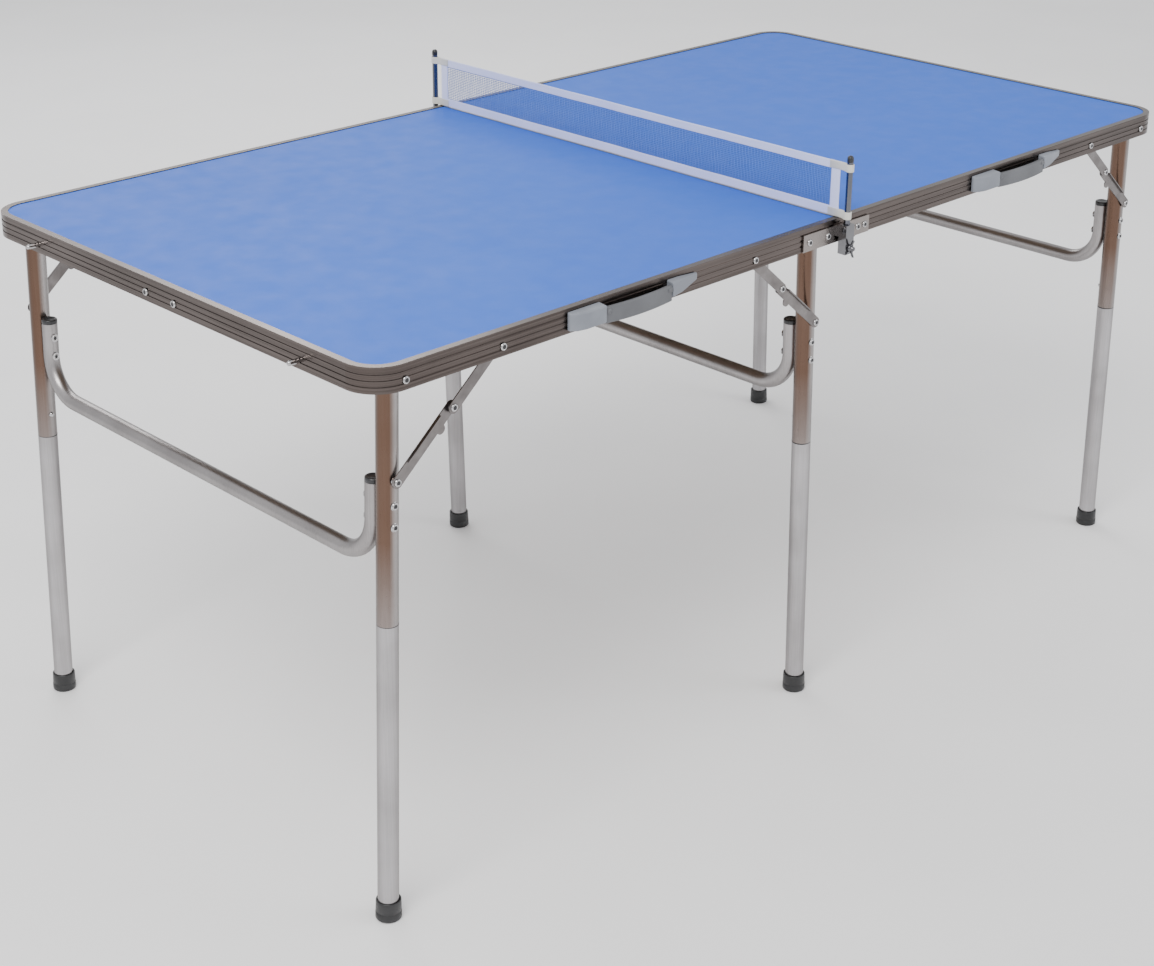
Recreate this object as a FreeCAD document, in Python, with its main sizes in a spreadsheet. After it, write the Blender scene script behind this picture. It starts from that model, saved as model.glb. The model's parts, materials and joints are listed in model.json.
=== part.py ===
import FreeCAD, Part
import math
import os
import re

# A folding tennis table in two halves, joined by hinges under the net.
# X runs along the table, Y across it, Z up; the origin is on the floor under the middle.
# The near side is -Y. The left half is -X. Lengths are millimetres and angles degrees.

SIZES = {
    # whole table
    "table_length": 1524,
    "table_width": 762,
    "table_height": 690,
    # extruded edge rail, bent round the outer corners
    "rail_depth": 30,
    "rail_wall": 2,
    "corner_radius": 43,
    "lip_width": 9,
    "lip_thickness": 1,
    "ledge_width": 8,
    "ledge_thickness": 1.2,
    "base_lip": 5,
    "groove_depth": 0.9,
    "groove_width": 3,
    "groove_pitch": 7,
    "first_groove": 7,
    "seam_gap": 0.5,
    # playing board
    "board_thickness": 5,
    "board_gap": 0.3,
    # legs, in three pairs
    "leg_radius": 12.5,
    "tube_wall": 1.2,
    "leg_spread": 350,
    "left_leg": 717,
    "middle_leg": 32,
    "right_leg": 710,
    "leg_headroom": 0.5,
    "leg_splay": 1.8,
    "upper_length": 293.1,
    "joint_gap": 0.8,
    "spigot_length": 50,
    "spigot_gap": 0.1,
    "cap_radius": 15.5,
    "cap_height": 25,
    "cap_floor": 5,
    # snap buttons of the lower legs
    "button_radius": 3.4,
    "button_reach": 3.5,
    "button_rise": 32,
    "leaf_length": 30,
    "leaf_width": 6,
    "leaf_thickness": 0.8,
    # bent bar between the legs of a pair
    "bar_radius": 10,
    "bar_bend": 52,
    "bar_drop": 226,
    "bar_top": 125,
    "bar_cap": 6,
    "bar_gap": 0.1,
    "upper_bolt": 149,
    "lower_bolt": 174,
    # folding braces
    "brace_reach": 136,
    "brace_drop": 120,
    "link_width": 14,
    "link_thickness": 1.5,
    "lower_link_gap": 3.7,
    "link_step": 3.3,
    "flange_height": 3,
    "flange_start": 23,
    "flange_end": 16,
    "tab_radius": 6,
    "tab_back": 26,
    # rivets
    "rivet_radius": 3,
    "rivet_head": 4.4,
    "head_height": 1.5,
    "sleeve_radius": 5,
    "turn_gap": 0.05,
    "face_gap": 0.1,
    # centre hinges
    "plate_gap": 0.2,
    "plate_thickness": 2,
    "plate_height": 22,
    "left_plate": 80,
    "right_plate": 50,
    "plate_start": 8.5,
    "joggle_end": 20,
    "ear_radius": 7,
    "left_plate_rivet": 68,
    "right_inner_rivet": 27,
    "right_outer_rivet": 41,
    "pin_head": 4.5,
    "pin_head_height": 1,
    # net, its posts and clamps
    "net_inset": 8,
    "net_height": 72,
    "net_lift": 0.5,
    "net_thickness": 1,
    "net_half": 378,
    "post_radius": 4,
    "post_out": 12,
    "post_top": 83,
    "post_foot": 12,
    "loop_wall": 1,
    "loop_height": 10,
    "loop_gap": 0.15,
    "clamp_length": 16,
    "clamp_wall": 2,
    "clamp_rise": 24,
    "clamp_fall": 14,
    "pad_width": 8,
    "screw_radius": 2.5,
    "screw_drop": 6,
    "screw_head": 5,
    "screw_head_height": 3,
    "wing_depth": 8,
    "wing_tip": 8,
    "wing_thickness": 2,
    # carrying handles
    "handle_half": 105,
    "grip_half": 54,
    "grip_gap": 1,
    "handle_depth": 13,
    "handle_low": 4,
    "handle_high": 26,
    "grip_pin_drop": 14,
    "grip_pin_out": 8.5,
    "grip_pin_radius": 2.5,
    "grip_pin_length": 6,
    "grip_bar_low": 1,
    "grip_bar_height": 20,
    "grip_bar_depth": 4,
    "grip_arm": 8,
    # case latches on the end rails
    "latch_spread": 262,
    "stud_length": 14,
    "latch_width": 12,
    "latch_thickness": 2.5,
    "latch_length": 30,
    "latch_tab": 6,
    # plate that joins the ends of the left rail
    "splice_half": 45,
    "splice_rivet": 28,
    "splice_thickness": 1.6,
}

BOTTOM = "(table_height - rail_depth)"
TOP = "table_height"
BOARD_TOP = "(table_height - lip_thickness)"
BOARD_UNDER = "(table_height - lip_thickness - board_thickness)"
LEDGE_UNDER = "(table_height - lip_thickness - board_thickness - ledge_thickness)"
PIVOT_DROP = "(lip_thickness + board_thickness + leg_headroom + leg_radius)"
PIVOT_Z = f"(table_height - {PIVOT_DROP})"
SIDE = "(table_width / 2)"
END = "(table_length / 2)"
HOLE = "(rivet_radius + turn_gap)"

# distances from the middle line to each layer of the folding braces
LEG_OUTER = "(leg_spread + leg_radius)"
LEG_INNER = "(leg_spread - leg_radius)"
LOWER_LINK = "(leg_spread + leg_radius + lower_link_gap)"
UPPER_LINK = "(leg_spread + leg_radius + lower_link_gap + link_thickness + link_step)"
BAR_Y = "(leg_spread - leg_radius - bar_radius - bar_gap)"

# distances down a leg from its pivot
FOOT_REACH = f"({PIVOT_Z} / cos(leg_splay))"

doc = FreeCAD.newDocument("FoldingTable")
sheet = doc.addObject("Spreadsheet::Sheet", "sizes")
for row, (alias, number) in enumerate(SIZES.items(), start=1):
    sheet.set(f"A{row}", alias)
    sheet.set(f"B{row}", str(number))
    sheet.setAlias(f"B{row}", alias)
doc.recompute()

parts = []


def size(alias):
    """The number that the sheet holds for an alias."""
    return float(sheet.get(alias))


def bind(target, path, text):
    """Bind a property to an expression in which plain words are aliases of the sheet."""
    named = re.sub(r"[a-z_]+", lambda word: ("sizes." if word[0] in SIZES else "") + word[0], text)
    target.setExpression(path, named)


def move_to(target, point):
    for letter, text in zip("xyz", point):
        bind(target, f"Placement.Base.{letter}", text)


def box(across, along, up):
    """A box from three (low, high) pairs, in X, Y and Z."""
    made = doc.addObject("Part::Box", "box")
    for side, (low, high) in zip(("Length", "Width", "Height"), (across, along, up)):
        bind(made, side, f"({high}) - ({low})")
    move_to(made, [low for low, high in (across, along, up)])
    return made


TURNS = {
    "X": FreeCAD.Rotation(FreeCAD.Vector(0, 1, 0), 90),
    "Y": FreeCAD.Rotation(FreeCAD.Vector(1, 0, 0), -90),
    "Z": FreeCAD.Rotation(),
}


def rod(axis, start, length, radius):
    """A cylinder that runs from start along one axis."""
    made = doc.addObject("Part::Cylinder", "rod")
    made.Placement = FreeCAD.Placement(FreeCAD.Vector(), TURNS[axis])
    bind(made, "Radius", radius)
    bind(made, "Height", length)
    move_to(made, start)
    return made


def head(axis, start, height, radius):
    """The domed head of a rivet, wide at start and narrower further along the axis."""
    made = doc.addObject("Part::Cone", "head")
    made.Placement = FreeCAD.Placement(FreeCAD.Vector(), TURNS[axis])
    bind(made, "Radius1", radius)
    bind(made, "Radius2", f"{radius} * 0.6")
    bind(made, "Height", height)
    move_to(made, start)
    return made


def ball(centre, radius):
    made = doc.addObject("Part::Sphere", "ball")
    bind(made, "Radius", radius)
    move_to(made, centre)
    return made


def elbow(centre, bend, radius):
    """A quarter of a torus in the YZ plane, from +Y down to -Z."""
    made = doc.addObject("Part::Torus", "elbow")
    toward_y, toward_down = FreeCAD.Vector(0, 1, 0), FreeCAD.Vector(0, 0, -1)
    turn = FreeCAD.Rotation(toward_y, toward_down, toward_y.cross(toward_down), "XYZ")
    made.Placement = FreeCAD.Placement(FreeCAD.Vector(), turn)
    bind(made, "Radius1", bend)
    bind(made, "Radius2", radius)
    made.Angle3 = 90
    move_to(made, centre)
    return made


def join(*pieces):
    made = doc.addObject("Part::MultiFuse", "join")
    made.Shapes = list(pieces)
    made.Refine = True
    return made


def cut(base, *tools):
    made = doc.addObject("Part::Cut", "cut")
    made.Base = base
    made.Tool = tools[0] if len(tools) == 1 else join(*tools)
    made.Refine = True
    return made


def common(first, second):
    made = doc.addObject("Part::Common", "common")
    made.Base = first
    made.Tool = second
    made.Refine = True
    return made


def mirror(source, x=0, y=0):
    made = doc.addObject("Part::Mirroring", "mirror")
    made.Source = source
    made.Normal = FreeCAD.Vector(x, y, 0)
    return made


def group(*pieces):
    made = doc.addObject("Part::Compound", "group")
    made.Links = list(pieces)
    return made


def both_sides(piece):
    """A piece on the far side and its mirror image on the near side."""
    return group(piece, mirror(piece, y=1))


def keep(node, made, placement=None):
    """Name a finished sub-part and put it in its place."""
    made.Label = node
    if placement is not None:
        made.Placement = placement
    parts.append(made)
    return made


# ---------------------------------------------------------------- edge rails and boards


def slab(inset, low, high, end="-seam_gap"):
    """The outline of the left half, drawn in by inset, between two heights."""
    corner_x = f"(-{END} + corner_radius)"
    corner_y = f"({SIDE} - corner_radius)"
    middle = box((corner_x, end), (f"{inset} - {SIDE}", f"{SIDE} - {inset}"), (low, high))
    nose = box((f"{inset} - {END}", corner_x), (f"-{corner_y}", corner_y), (low, high))
    corners = [
        rod("Z", (corner_x, y, low), f"({high}) - ({low})", f"corner_radius - ({inset})")
        for y in (corner_y, f"-{corner_y}")
    ]
    return join(middle, nose, *corners)


def groove(number):
    """One of the shallow grooves that run round the outside of the rail."""
    low = f"({BOTTOM} + first_groove + {number} * groove_pitch)"
    high = f"({low} + groove_width)"
    outside = slab("-groove_depth", low, high, end="groove_width")
    return cut(outside, slab("groove_depth", low, high, end="groove_width * 2"))


def side_hole(x, z):
    """A rivet hole through both long sides."""
    return rod("Y", (x, f"-{SIDE} - rail_wall", z), "table_width + 2 * rail_wall", HOLE)


def end_hole(y):
    """A hole through the end wall, at the height of the leg pivots."""
    return rod("X", (f"-{END} - rail_wall", y, PIVOT_Z), "3 * rail_wall", HOLE)


def rail(rivet_places):
    """One half's rail: a channel that holds the board under its top lip."""
    past = "rail_wall"
    channel = cut(
        slab("0", BOTTOM, TOP),
        slab("base_lip", f"{BOTTOM} - 1", f"{BOTTOM} + ledge_thickness", past),
        slab("rail_wall", f"{BOTTOM} + ledge_thickness", LEDGE_UNDER, past),
        slab("ledge_width", LEDGE_UNDER, BOARD_UNDER, past),
        slab("rail_wall", BOARD_UNDER, BOARD_TOP, past),
        slab("lip_width", BOARD_TOP, f"{TOP} + 1", past),
    )
    grooves = [groove(number) for number in range(3)]
    holes = [side_hole(x, z) for x, z in rivet_places]
    latch_holes = [end_hole("latch_spread"), end_hole("-latch_spread")]
    return cut(channel, *grooves, *holes, *latch_holes)


PLATE_RIVET_Z = f"({BOTTOM} + plate_height / 2)"
LEFT_RIVETS = [
    ("-left_leg", PIVOT_Z),
    ("-(left_leg - brace_reach)", PIVOT_Z),
    ("-(middle_leg + brace_reach)", PIVOT_Z),
    ("-middle_leg", PIVOT_Z),
    ("-left_plate_rivet", PLATE_RIVET_Z),
]
RIGHT_RIVETS = [
    ("-right_leg", PIVOT_Z),
    ("-(right_leg - brace_reach)", PIVOT_Z),
    ("-right_inner_rivet", PLATE_RIVET_Z),
    ("-right_outer_rivet", PLATE_RIVET_Z),
]

splice_holes = [end_hole("splice_rivet"), end_hole("-splice_rivet")]
keep("edge_frame_left", cut(rail(LEFT_RIVETS), *splice_holes))
keep("edge_frame_right", mirror(rail(RIGHT_RIVETS), x=1))

board_end = "-(seam_gap + rail_wall + board_gap)"
board = slab("(rail_wall + board_gap)", BOARD_UNDER, BOARD_TOP, board_end)
keep("top_board_left", board)
keep("top_board_right", mirror(board, x=1))

trim_half = f"({SIDE} - lip_width - board_gap)"
trim_layers = [
    ("rail_wall", BOTTOM, TOP),
    ("base_lip", BOTTOM, f"{BOTTOM} + ledge_thickness"),
    ("ledge_width", LEDGE_UNDER, BOARD_UNDER),
    ("lip_width", BOARD_TOP, TOP),
]
trim = join(
    *[
        box((f"-(seam_gap + {width})", "-seam_gap"), (f"-{trim_half}", trim_half), (low, high))
        for width, low, high in trim_layers
    ]
)
keep("centre_trim_left", trim)
keep("centre_trim_right", mirror(trim, x=1))

splice = box(
    (f"-{END} + rail_wall", f"-{END} + rail_wall + splice_thickness"),
    ("-splice_half", "splice_half"),
    (f"{BOTTOM} + ledge_thickness", LEDGE_UNDER),
)
keep("splice_plate", cut(splice, end_hole("splice_rivet"), end_hole("-splice_rivet")))


# ---------------------------------------------------------------- centre hinges

layer_one = (f"{SIDE} + plate_gap", f"{SIDE} + plate_gap + plate_thickness")
layer_two = (f"{layer_one[1]} + plate_gap", f"{layer_one[1]} + plate_gap + plate_thickness")
PLATE_FACE = f"({layer_one[1]})"
HINGE_FACE = f"({layer_two[1]})"
plate_band = (BOTTOM, f"{BOTTOM} + plate_height")


def plate_hole(x, z):
    return rod("Y", (x, SIDE, z), "4 * plate_thickness", HOLE)


def ear(layer):
    return rod("Y", ("0", layer[0], BOTTOM), "plate_thickness", "ear_radius")


left_plate = cut(
    join(box(("-left_plate", "0"), layer_one, plate_band), ear(layer_one)),
    plate_hole("0", BOTTOM),
    plate_hole("-middle_leg", PIVOT_Z),
    plate_hole("-left_plate_rivet", PLATE_RIVET_Z),
)
joggle_band = (BOTTOM, f"{BOTTOM} + 2 * ear_radius")
right_plate = cut(
    join(
        box(("plate_start", "right_plate"), layer_one, plate_band),
        box(("plate_start", "joggle_end"), (layer_one[0], layer_two[1]), joggle_band),
        box(("0", "joggle_end"), layer_two, (BOTTOM, f"{BOTTOM} + ear_radius")),
        ear(layer_two),
    ),
    plate_hole("0", BOTTOM),
    plate_hole("right_inner_rivet", PLATE_RIVET_Z),
    plate_hole("right_outer_rivet", PLATE_RIVET_Z),
)
keep("hinge_plates_left", both_sides(left_plate))
keep("hinge_plates_right", both_sides(right_plate))

hinge_pin = join(
    rod("Y", ("0", layer_one[0], BOTTOM), f"{HINGE_FACE} + face_gap - ({layer_one[0]})", "rivet_radius"),
    head("Y", ("0", f"{HINGE_FACE} + face_gap", BOTTOM), "pin_head_height", "pin_head"),
)
keep("hinge_pins", both_sides(hinge_pin))


# ---------------------------------------------------------------- rivets of the frame


def side_rivet(x, z, inner, outer, sleeve_end=None):
    """A rivet from a tail at inner to a head at outer, with a sleeve inside the rail wall."""
    rail_inside = f"({SIDE} - rail_wall - 2 * face_gap)"
    solids = [
        rod("Y", (x, inner, z), f"({outer}) - ({inner})", "rivet_radius"),
        head("Y", (x, outer, z), "head_height", "rivet_head"),
        rod("Y", (x, f"({inner}) - head_height", z), "head_height", "sleeve_radius"),
    ]
    if sleeve_end is not None:
        solids.append(rod("Y", (x, sleeve_end, z), f"{rail_inside} - ({sleeve_end})", "sleeve_radius"))
    return join(*solids)


def leg_pivot(x, outer):
    return side_rivet(x, PIVOT_Z, f"{LEG_INNER} - 4 * face_gap", outer, f"{LEG_OUTER} + 4 * face_gap")


def brace_pivot(x):
    clear = f"{UPPER_LINK} + link_thickness + 3 * face_gap"
    return side_rivet(x, PIVOT_Z, f"{UPPER_LINK} - face_gap", SIDE, clear)


def plate_rivet(x):
    return side_rivet(x, PLATE_RIVET_Z, f"{SIDE} - rail_wall - face_gap", PLATE_FACE)


def end_rivet(x, y, length, back):
    """A rivet through an end wall, with its head outside; x is the head's seat."""
    return join(
        rod("X", (f"{x} - ({length})", y, PIVOT_Z), length, "rivet_radius"),
        head("X", (x, y, PIVOT_Z), "head_height", "rivet_head"),
        rod("X", (f"{x} - ({length}) - head_height", y, PIVOT_Z), back, "sleeve_radius"),
    )


left_rivets = [
    leg_pivot("-left_leg", SIDE),
    brace_pivot("-(left_leg - brace_reach)"),
    brace_pivot("-(middle_leg + brace_reach)"),
    leg_pivot("-middle_leg", PLATE_FACE),
    plate_rivet("-left_plate_rivet"),
]
splice_rivets = [
    mirror(end_rivet(END, y, "rail_wall + splice_thickness + face_gap", "head_height"), x=1)
    for y in ("splice_rivet", "-splice_rivet")
]
left_side = join(*left_rivets)
keep("frame_rivets_left", group(left_side, mirror(left_side, y=1), *splice_rivets))

LATCH_FACE = f"({END} + plate_gap + latch_thickness + face_gap)"
right_rivets = [
    leg_pivot("right_leg", SIDE),
    brace_pivot("(right_leg - brace_reach)"),
    plate_rivet("right_inner_rivet"),
    plate_rivet("right_outer_rivet"),
]
latch_rivets = [
    end_rivet(LATCH_FACE, y, f"{LATCH_FACE} - {END} + rail_wall + face_gap", "head_height")
    for y in ("latch_spread", "-latch_spread")
]
right_side = join(*right_rivets)
keep("frame_rivets_right", group(right_side, mirror(right_side, y=1), *latch_rivets))


# ---------------------------------------------------------------- case latches

stud_tip = f"-({END} + stud_length)"
stud = join(
    rod("X", (stud_tip, "latch_spread", PIVOT_Z), "stud_length + rail_wall", "rivet_radius"),
    ball((stud_tip, "latch_spread", PIVOT_Z), "rivet_radius"),
    rod("X", (f"-{END} + rail_wall", "latch_spread", PIVOT_Z), "head_height", "sleeve_radius"),
)
keep("latch_studs", both_sides(stud))

# closed, the stud lies one pivot height beyond the joint plane, as far as the latch's own rivet
HOOK_Z = f"({BOTTOM} - ({PIVOT_Z} - {BOTTOM}))"


def latch(sign):
    y = f"({sign} * latch_spread)"
    sheet_x = (f"{END} + plate_gap", f"{END} + plate_gap + latch_thickness")
    low = f"({PIVOT_Z} - latch_length)"
    half = "latch_width / 2"
    width = (f"{y} - {half}", f"{y} + {half}")
    slot = "(rivet_radius + 3 * face_gap)"
    plate = join(
        box(sheet_x, width, (low, PIVOT_Z)),
        rod("X", (sheet_x[0], y, PIVOT_Z), "latch_thickness", half),
        box((sheet_x[1], f"{sheet_x[1]} + latch_tab"), width, (low, f"{low} + latch_thickness")),
    )
    inner = (y, f"{y} + latch_width") if sign < 0 else (f"{y} - latch_width", y)
    return cut(
        plate,
        rod("X", (END, y, PIVOT_Z), "3 * latch_thickness", HOLE),
        rod("X", (END, y, HOOK_Z), "3 * latch_thickness", slot),
        box((END, f"{END} + 3 * latch_thickness"), inner, (f"{HOOK_Z} - {slot}", f"{HOOK_Z} + {slot}")),
    )


keep("latch_near", latch(-1))
keep("latch_far", latch(1))


# ---------------------------------------------------------------- legs, bars and braces


def z_turn(angle):
    return FreeCAD.Rotation(FreeCAD.Vector(0, 0, 1), angle)


def y_turn(angle):
    return FreeCAD.Rotation(FreeCAD.Vector(0, 1, 0), angle)


def leg_hole(down, low, length, radius=HOLE):
    """A hole across the leg that starts and ends clear of the tube."""
    return rod("Y", ("0", f"({low}) - tube_wall", f"-({down})"), f"({length}) + 2 * tube_wall", radius)


bolts = ("upper_bolt", "lower_bolt")


def upper_leg():
    """The upper tube of a leg, on +Y, hung from its pivot at the origin, with a rounded top."""
    inner = "leg_radius - tube_wall"
    down = "(upper_length - joint_gap)"
    tube = cut(
        rod("Z", ("0", "leg_spread", f"-{down}"), f"{down} + leg_radius", "leg_radius"),
        rod("Z", ("0", "leg_spread", f"-{down}"), f"{down} + leg_radius", inner),
    )
    deep = (f"{LEG_INNER} - tube_wall", f"{LEG_OUTER} + tube_wall")
    rounded = join(
        rod("Y", ("0", deep[0], "0"), f"({deep[1]}) - ({deep[0]})", "leg_radius + turn_gap"),
        box(("-leg_radius - tube_wall", "leg_radius + tube_wall"), deep, (f"-{down} - joint_gap", "0")),
    )
    holes = [
        leg_hole("0", LEG_INNER, "2 * leg_radius"),
        leg_hole("brace_drop", "leg_spread", "leg_radius"),
        leg_hole("upper_length - button_rise", LEG_INNER, "leg_radius", "button_radius + face_gap"),
    ]
    holes += [leg_hole(bolt, LEG_INNER, "2 * leg_radius") for bolt in bolts]
    return cut(common(tube, rounded), *holes)


def lower_leg():
    """The lower tube, whose spigot goes up inside the upper one."""
    foot = f"({FOOT_REACH} - cap_floor)"
    spigot_radius = "leg_radius - tube_wall - spigot_gap"
    spigot_top = "(upper_length - spigot_length)"
    solid = join(
        rod("Z", ("0", "leg_spread", f"-{foot}"), f"{foot} - upper_length", "leg_radius"),
        rod("Z", ("0", "leg_spread", f"-{foot}"), f"{foot} - {spigot_top}", spigot_radius),
    )
    bore = rod("Z", ("0", "leg_spread", f"-{foot}"), foot, f"{spigot_radius} - tube_wall")
    hole = leg_hole("upper_length - button_rise", LEG_INNER, "leg_radius", "button_radius + face_gap")
    return cut(solid, bore, hole)


def snap_button():
    """A button that stands out of the leg's inner side, on its leaf spring inside the spigot."""
    down = "(upper_length - button_rise)"
    wall_inside = f"({LEG_INNER} + 2 * tube_wall + 3 * spigot_gap)"
    tip = f"({LEG_INNER} - button_reach)"
    leaf_face = f"({wall_inside} + leg_radius / 5)"
    half = "leaf_width / 2"
    dome = f"({tip} + button_radius)"
    leaf = (leaf_face, f"{leaf_face} + leaf_thickness")
    return join(
        ball(("0", dome, f"-{down}"), "button_radius"),
        rod("Y", ("0", dome, f"-{down}"), f"{leaf[1]} - {dome}", "button_radius"),
        box((f"-{half}", half), leaf, (f"-{down} - leaf_length", f"-{down} + {half}")),
    )


def foot_cap():
    """A rubber cup over the end of the lower tube."""
    below = f"-({FOOT_REACH} + leg_radius)"
    seat = f"-({FOOT_REACH} - cap_floor)"
    outside = rod("Z", ("0", "leg_spread", below), "cap_height + leg_radius", "cap_radius")
    return cut(outside, rod("Z", ("0", "leg_spread", seat), "cap_height", "leg_radius + turn_gap"))


def bar_path(radius, start):
    """The solid of the bent bar, at a radius, with its upright ends starting at a drop."""
    straight = f"({BAR_Y} - bar_bend)"
    upright = "(bar_drop - bar_bend)"
    half = join(
        rod("Z", ("0", BAR_Y, f"-{upright}"), f"{upright} - ({start})", radius),
        elbow(("0", straight, f"-{upright}"), "bar_bend", radius),
        rod("Y", ("0", "0", "-bar_drop"), straight, radius),
    )
    return join(half, mirror(half, y=1))


def cross_bar():
    """The bent tube that ties the two legs of a pair together."""
    tube = cut(
        bar_path("bar_radius", "bar_top + bar_cap"),
        bar_path("(bar_radius - tube_wall)", "bar_top"),
    )
    holes = [rod("Y", ("0", f"-{LEG_INNER}", f"-{bolt}"), f"2 * {LEG_INNER}", HOLE) for bolt in bolts]
    return cut(tube, *holes)


def bar_cap():
    return join(
        rod("Z", ("0", BAR_Y, "-(bar_top + bar_cap)"), "bar_cap", "bar_radius"),
        rod("Z", ("0", BAR_Y, "-(bar_top + 2 * bar_cap)"), "bar_cap", "bar_radius - tube_wall - turn_gap"),
    )


def leg_rivets():
    """The brace's rivet and the two rivets that hold the bent bar."""
    seat = f"({LOWER_LINK} + link_thickness + face_gap)"
    outside = f"({LEG_OUTER} + face_gap)"
    tail = f"({BAR_Y} - bar_radius - 3 * face_gap)"
    blind = f"({LEG_OUTER} - 4 * tube_wall)"
    brace = join(
        rod("Y", ("0", blind, "-brace_drop"), f"{seat} - {blind}", "rivet_radius"),
        rod("Y", ("0", outside, "-brace_drop"), f"{LOWER_LINK} - face_gap - {outside}", "sleeve_radius"),
        head("Y", ("0", seat, "-brace_drop"), "head_height", "rivet_head"),
    )
    held = [
        join(
            rod("Y", ("0", tail, f"-{bolt}"), f"{outside} - {tail}", "rivet_radius"),
            head("Y", ("0", outside, f"-{bolt}"), "head_height", "sleeve_radius"),
            rod("Y", ("0", f"{tail} - head_height", f"-{bolt}"), "head_height", "sleeve_radius"),
        )
        for bolt in bolts
    ]
    return group(brace, *held)


# the straight brace runs from its rivet on the leg up to its rivet on the rail
SPAN = "sqrt(brace_reach ^ 2 + brace_drop ^ 2 + 2 * brace_reach * brace_drop * sin(leg_splay))"
UPPER_LENGTH = f"(({SPAN} - brace_reach + brace_drop) / 2)"
LOWER_LENGTH = f"(({SPAN} + brace_reach - brace_drop) / 2)"


def strip(layer, length):
    """A flat link along +X, with round ends."""
    half = "link_width / 2"
    return join(
        box(("0", length), (layer, f"{layer} + link_thickness"), (f"-{half}", half)),
        rod("Y", ("0", layer, "0"), "link_thickness", half),
        rod("Y", (length, layer, "0"), "link_thickness", half),
    )


def link_hole(x):
    return rod("Y", (x, LEG_OUTER, "0"), "leg_radius", HOLE)


def brace_upper():
    """The link that hangs from the rail, with the rivet of the elbow."""
    link = cut(strip(UPPER_LINK, UPPER_LENGTH), link_hole("0"), link_hole(UPPER_LENGTH))
    spacer = f"({LOWER_LINK} + link_thickness + 3 * face_gap)"
    face = f"({UPPER_LINK} + link_thickness)"
    rivet = join(
        rod("Y", (UPPER_LENGTH, spacer, "0"), f"{face} - {spacer}", "rivet_radius"),
        rod("Y", (UPPER_LENGTH, spacer, "0"), f"{UPPER_LINK} - face_gap - {spacer}", "rivet_radius + 1"),
        head("Y", (UPPER_LENGTH, face, "0"), "head_height", "rivet_head"),
    )
    return group(link, rivet)


def brace_lower():
    """The link on the leg, stiffened by a flange and with a thumb tab near the elbow."""
    half = "link_width / 2"
    flange = box(
        ("flange_start", f"{LOWER_LENGTH} - flange_end"),
        (LOWER_LINK, f"{LOWER_LINK} + link_thickness + flange_height"),
        (f"{half} - link_thickness", half),
    )
    tab = rod("Y", (f"{LOWER_LENGTH} - tab_back", LOWER_LINK, f"-{half}"), "link_thickness", "tab_radius")
    return cut(join(strip(LOWER_LINK, LOWER_LENGTH), flange, tab), link_hole("0"))


floor = box((f"-{END}", END), (f"-{SIDE}", SIDE), ("-2 * cap_height", "0"))
splay = math.radians(size("leg_splay"))
reach, drop = size("brace_reach"), size("brace_drop")
brace_tilt = math.degrees(math.atan2(drop * math.cos(splay), reach + drop * math.sin(splay)))
brace_foot = FreeCAD.Vector(-drop * math.sin(splay), 0, -drop * math.cos(splay))

# each pair is drawn as one that folds towards +X, and turned about Z where it folds the other way
PAIRS = [
    ("left", -size("left_leg"), 0),
    ("middle", -size("middle_leg"), 180),
    ("right", size("right_leg"), 180),
]
under_board = size("table_height") - size("lip_thickness") - size("board_thickness")
pivot_height = under_board - size("leg_headroom") - size("leg_radius")

for pair, pair_x, turn in PAIRS:
    pivot = FreeCAD.Placement(FreeCAD.Vector(pair_x, 0, pivot_height), z_turn(turn))
    leaning = pivot * FreeCAD.Placement(FreeCAD.Vector(), y_turn(size("leg_splay")))
    for side_name, flip in (("far", turn != 0), ("near", turn == 0)):
        for maker in (upper_leg, lower_leg, snap_button):
            made = mirror(maker(), y=1) if flip else maker()
            keep(f"{maker.__name__}_{pair}_{side_name}", made, leaning)
    caps = both_sides(foot_cap())
    caps.Placement = leaning
    keep(f"foot_caps_{pair}", cut(caps, floor))
    keep(f"cross_bar_{pair}", cross_bar(), leaning)
    keep(f"cross_bar_caps_{pair}", both_sides(bar_cap()), leaning)
    keep(f"leg_rivets_{pair}", both_sides(leg_rivets()), leaning)
    at_rail = FreeCAD.Placement(FreeCAD.Vector(reach, 0, 0), y_turn(180 - brace_tilt))
    keep(f"brace_upper_{pair}", both_sides(brace_upper()), pivot * at_rail)
    at_leg = FreeCAD.Placement(brace_foot, y_turn(-brace_tilt))
    keep(f"brace_lower_{pair}", both_sides(brace_lower()), pivot * at_leg)


# ---------------------------------------------------------------- carrying handles

HANDLE_X = f"({END} / 2)"
PIN_Z = f"({TOP} - grip_pin_drop)"
PIN_Y = f"({SIDE} + grip_pin_out)"


def handle_brackets():
    """Two moulded brackets on the side rail, on the far side of the right half."""
    inner = "(grip_half + grip_gap)"
    solids = [
        box(
            (f"{HANDLE_X} + {start}", f"{HANDLE_X} + {stop}"),
            (SIDE, f"{SIDE} + handle_depth"),
            (f"{BOTTOM} + handle_low", f"{BOTTOM} + handle_high"),
        )
        for start, stop in (("-handle_half", f"-{inner}"), (inner, "handle_half"))
    ]
    length = "2 * (grip_half + grip_pin_length + grip_gap)"
    pin_start = f"{HANDLE_X} - grip_half - grip_pin_length - grip_gap"
    bore = rod("X", (pin_start, PIN_Y, PIN_Z), length, "grip_pin_radius + turn_gap")
    return cut(group(*solids), bore)


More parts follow.
